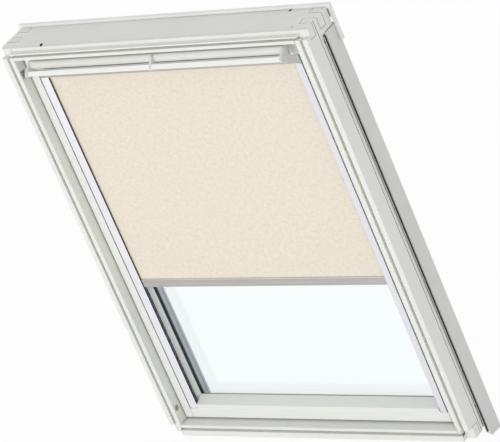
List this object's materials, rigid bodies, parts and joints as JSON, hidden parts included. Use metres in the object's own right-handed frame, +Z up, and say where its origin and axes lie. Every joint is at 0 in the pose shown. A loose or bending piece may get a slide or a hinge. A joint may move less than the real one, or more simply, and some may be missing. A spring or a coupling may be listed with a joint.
{
  "type": "roof window with roller blind",
  "caption": "Centre-pivot roof window: white frame, pivoting double-glazed sash, control bar with vent flap, and a beige roller blind in side guides.",
  "frame": {"origin": "middle of the sill's underside, 45 mm behind the frame's room side", "axes": "+Z up along the jambs, +Y from the room to the weather side, +X to the right seen from the room"},
  "size_m": [0.7956, 0.1208, 1.0154],
  "materials": {
    "white_frame": "white lacquered pine",
    "white_sash": "white lacquered pine",
    "white_bar": "white powder coat",
    "plastic": "moulded",
    "cover_metal": "grey-white coated",
    "guide_metal": "satin anodised",
    "steel": "zinc plated",
    "rubber_seal": "matt",
    "pane_glass": "clear",
    "blind_fabric": "plain weave, coated"
  },
  "bodies": {
    "frame": {"frame_head": "white_frame", "frame_sill": "white_frame", "frame_jamb_left": "white_frame", "frame_jamb_right": "white_frame", "head_cover": "cover_metal", "cover_end_left": "plastic", "cover_end_right": "plastic", "side_cover_left": "cover_metal", "side_cover_right": "cover_metal", "side_seal_left": "rubber_seal", "side_seal_right": "rubber_seal", "sill_cover": "cover_metal", "frame_seal_head": "rubber_seal", "frame_seal_sill": "rubber_seal", "frame_seal_left": "rubber_seal", "frame_seal_right": "rubber_seal", "hinge_plate_left": "steel", "hinge_plate_right": "steel", "strike_plate": "steel", "vent_bushing": "steel", "cleaning_bushing": "steel"},
    "sash": {"sash_top_rail": "white_sash", "sash_bottom_rail": "white_sash", "sash_stile_left": "white_sash", "sash_stile_right": "white_sash", "inner_pane": "pane_glass", "outer_pane": "pane_glass", "glass_spacer": "guide_metal", "glazing_gasket": "rubber_seal", "sash_cover_top": "cover_metal", "sash_cover_bottom": "cover_metal", "sash_cover_left": "cover_metal", "sash_cover_right": "cover_metal", "sash_hinge_left": "steel", "sash_hinge_right": "steel", "pivot_bracket_left": "plastic", "pivot_bracket_right": "plastic", "lock_case": "steel", "blind_casing": "guide_metal", "casing_end_left": "plastic", "casing_end_right": "plastic", "side_guide_left": "guide_metal", "side_guide_right": "guide_metal", "blind_fabric": "blind_fabric"},
    "control_bar": {"flap_panel": "white_bar", "grip_left": "white_bar", "grip_right": "white_bar", "arm_left": "white_bar", "arm_middle": "white_bar", "arm_right": "white_bar"},
    "latch": {"latch_tongue": "steel"},
    "bolt": {"barrel_bolt": "steel"},
    "roller": {"roller_tube": "guide_metal", "roller_plug_left": "plastic", "roller_plug_right": "plastic", "wound_fabric": "blind_fabric"},
    "blind_bar": {"bottom_bar": "guide_metal", "slider_left": "plastic", "slider_right": "plastic"}
  },
  "joints": [
    {"name": "sash_pivot", "type": "hinge", "parent": "frame", "child": "sash", "pos_m": [0, 0.007, 0.489], "axis": [1, 0, 0], "range_deg": [0, 171.48]},
    {"name": "control_bar_pivot", "type": "hinge", "parent": "sash", "child": "control_bar", "pos_m": [0, -0.015, 0.9405], "axis": [1, 0, 0], "range_deg": [0, 30]},
    {"name": "latch_slide", "type": "slide", "parent": "sash", "child": "latch", "axis": [0, 0, 1], "range_m": [-0.006, 0]},
    {"name": "barrel_bolt_slide", "type": "slide", "parent": "sash", "child": "bolt", "axis": [-1, 0, 0], "range_m": [0, 0.01]},
    {"name": "blind_slide", "type": "slide", "parent": "sash", "child": "blind_bar", "axis": [0, 0, 1], "range_m": [-0.295, 0.49], "deforming": ["blind_fabric"]},
    {"name": "roller_turn", "type": "hinge", "parent": "sash", "child": "roller", "pos_m": [0, -0.0046, 0.904], "axis": [1, 0, 0], "range_deg": [-3600, 2100]}
  ],
  "couplings": [
    {"joint": "latch_slide", "follows": "control_bar_pivot", "m_per_rad": -0.0114},
    {"joint": "roller_turn", "follows": "blind_slide", "rad_per_m": -120.48}
  ]
}
